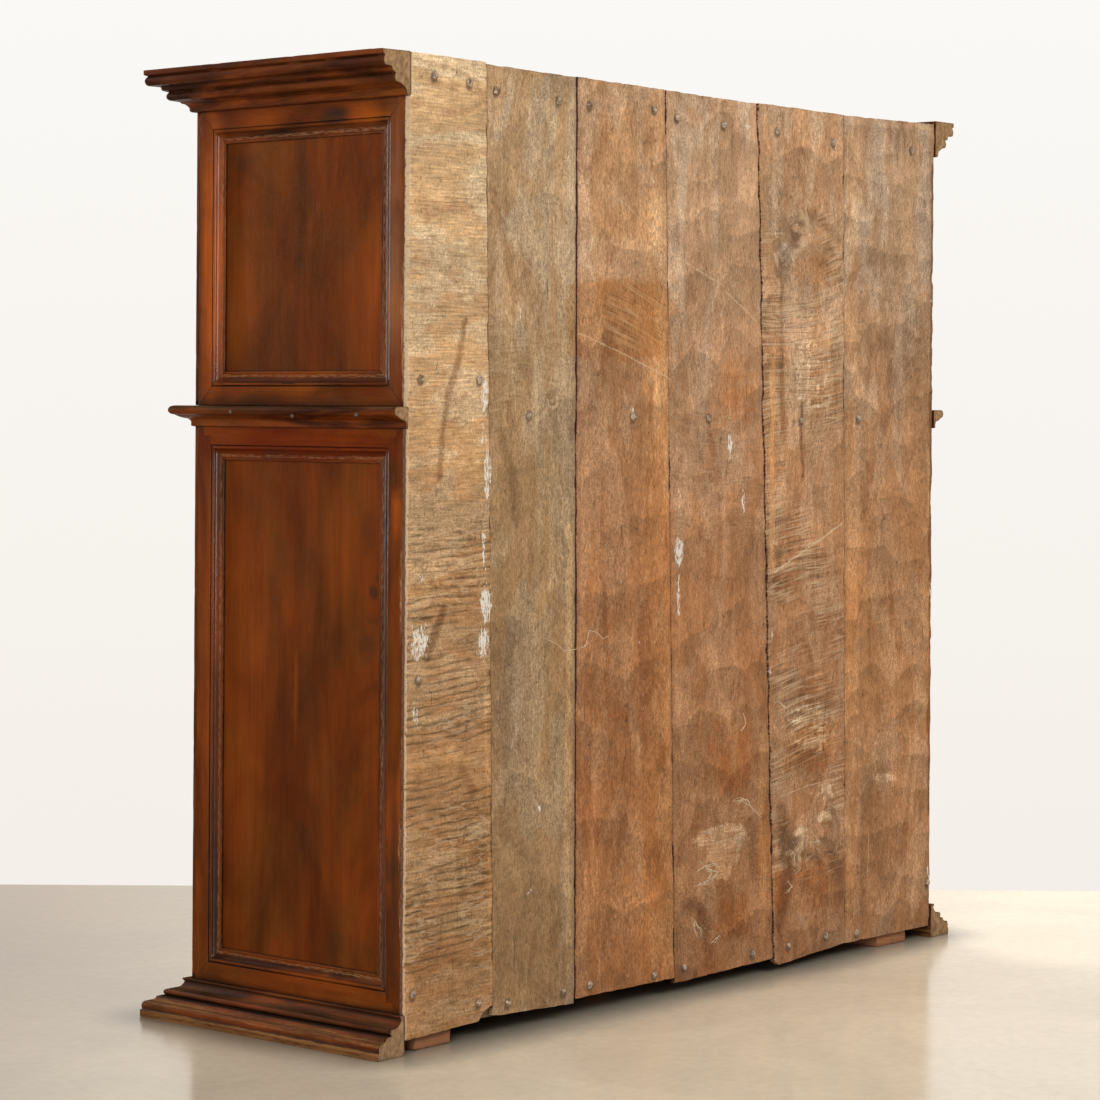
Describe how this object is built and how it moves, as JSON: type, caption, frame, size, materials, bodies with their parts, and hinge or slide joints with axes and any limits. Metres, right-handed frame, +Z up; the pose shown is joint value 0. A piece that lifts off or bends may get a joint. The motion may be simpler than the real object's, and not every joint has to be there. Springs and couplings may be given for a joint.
{
  "type": "two-tier sideboard cupboard",
  "caption": "Tall panelled sideboard cupboard with an upper and a lower tier, planted mouldings, nailed back boards, pivot-hung doors with knobs and rim locks, and a shelf.",
  "frame": {"origin": "on the floor, at the middle of the overall footprint", "axes": "+X to the right seen from the front, +Y to the back boards, +Z up"},
  "size_m": [1.688, 0.575, 1.65],
  "materials": {
    "stained_walnut": "worn varnish",
    "stained_panel": "worn varnish",
    "carcass_wood": "plain, aged",
    "raw_board": "rough sawn, aged",
    "raw_block": "rough sawn",
    "forged_iron": "dark forged"
  },
  "bodies": {
    "carcass": {"back_board_1": "raw_board", "back_board_2": "raw_board", "back_board_3": "raw_board", "back_board_4": "raw_board", "back_board_5": "raw_board", "back_board_6": "raw_board", "base_moulding_front": "stained_walnut", "base_moulding_left": "stained_walnut", "base_moulding_right": "stained_walnut", "bottom_board": "carcass_wood", "cornice_front": "stained_walnut", "cornice_left": "stained_walnut", "cornice_right": "stained_walnut", "foot_middle": "raw_block", "foot_rear_left": "raw_block", "foot_rear_right": "raw_block", "lower_end_left_frame": "stained_walnut", "lower_end_left_panel": "stained_panel", "lower_end_right_frame": "stained_walnut", "lower_end_right_panel": "stained_panel", "lower_post_left": "stained_walnut", "lower_post_right": "stained_walnut", "lower_shelf": "carcass_wood", "pivot_pin_bottom_left": "forged_iron", "pivot_pin_bottom_right": "forged_iron", "pivot_pin_top_left": "forged_iron", "pivot_pin_top_right": "forged_iron", "pivot_pin_waist_left": "forged_iron", "pivot_pin_waist_right": "forged_iron", "shelf_cleat_left": "carcass_wood", "shelf_cleat_right": "carcass_wood", "top_board": "carcass_wood", "upper_end_left_frame": "stained_walnut", "upper_end_left_panel": "stained_panel", "upper_end_right_frame": "stained_walnut", "upper_end_right_panel": "stained_panel", "upper_post_left": "stained_walnut", "upper_post_right": "stained_walnut", "waist_board": "carcass_wood", "waist_moulding_front": "stained_walnut", "waist_moulding_left": "stained_walnut", "waist_moulding_right": "stained_walnut"},
    "upper_door_right": {"upper_door_right_frame": "stained_walnut", "upper_door_right_knob": "stained_walnut", "upper_door_right_panel": "stained_panel", "upper_lock_case": "forged_iron"},
    "upper_door_left": {"upper_door_left_frame": "stained_walnut", "upper_door_left_knob": "stained_walnut", "upper_door_left_panel": "stained_panel"},
    "upper_lock_bolt": {"upper_lock_bolt": "forged_iron"},
    "upper_key": {"upper_key": "forged_iron"},
    "lower_door_right": {"lower_door_right_frame": "stained_walnut", "lower_door_right_knob": "stained_walnut", "lower_door_right_panel": "stained_panel", "lower_lock_case": "forged_iron"},
    "lower_door_left": {"lower_door_left_frame": "stained_walnut", "lower_door_left_knob": "stained_walnut", "lower_door_left_panel": "stained_panel"},
    "lower_lock_bolt": {"lower_lock_bolt": "forged_iron"},
    "lower_key": {"lower_key": "forged_iron"}
  },
  "joints": [
    {"name": "upper_door_right_hinge", "type": "hinge", "parent": "carcass", "child": "upper_door_right", "pos_m": [0.68, -0.2105, 1.3213], "axis": [0, 0, 1], "range_deg": [0, 95]},
    {"name": "upper_door_left_hinge", "type": "hinge", "parent": "carcass", "child": "upper_door_left", "pos_m": [-0.68, -0.2105, 1.3213], "axis": [0, 0, -1], "range_deg": [0, 95]},
    {"name": "upper_key_turn", "type": "hinge", "parent": "upper_door_right", "child": "upper_key", "pos_m": [0.0315, -0.2215, 1.3133], "axis": [0, 1, 0], "range_deg": [0, 180]},
    {"name": "upper_bolt_slide", "type": "slide", "parent": "upper_door_right", "child": "upper_lock_bolt", "axis": [-1, 0, 0], "range_m": [0, 0.012]},
    {"name": "lower_door_right_hinge", "type": "hinge", "parent": "carcass", "child": "lower_door_right", "pos_m": [0.68, -0.2105, 0.548], "axis": [0, 0, 1], "range_deg": [0, 95]},
    {"name": "lower_door_left_hinge", "type": "hinge", "parent": "carcass", "child": "lower_door_left", "pos_m": [-0.68, -0.2105, 0.548], "axis": [0, 0, -1], "range_deg": [0, 95]},
    {"name": "lower_key_turn", "type": "hinge", "parent": "lower_door_right", "child": "lower_key", "pos_m": [0.0315, -0.2215, 0.54], "axis": [0, 1, 0], "range_deg": [0, 180]},
    {"name": "lower_bolt_slide", "type": "slide", "parent": "lower_door_right", "child": "lower_lock_bolt", "axis": [-1, 0, 0], "range_m": [0, 0.012]}
  ],
  "couplings": [
    {"joint": "upper_key_turn", "follows": "upper_bolt_slide", "rad_per_m": 261.8},
    {"joint": "lower_key_turn", "follows": "lower_bolt_slide", "rad_per_m": 261.8}
  ]
}
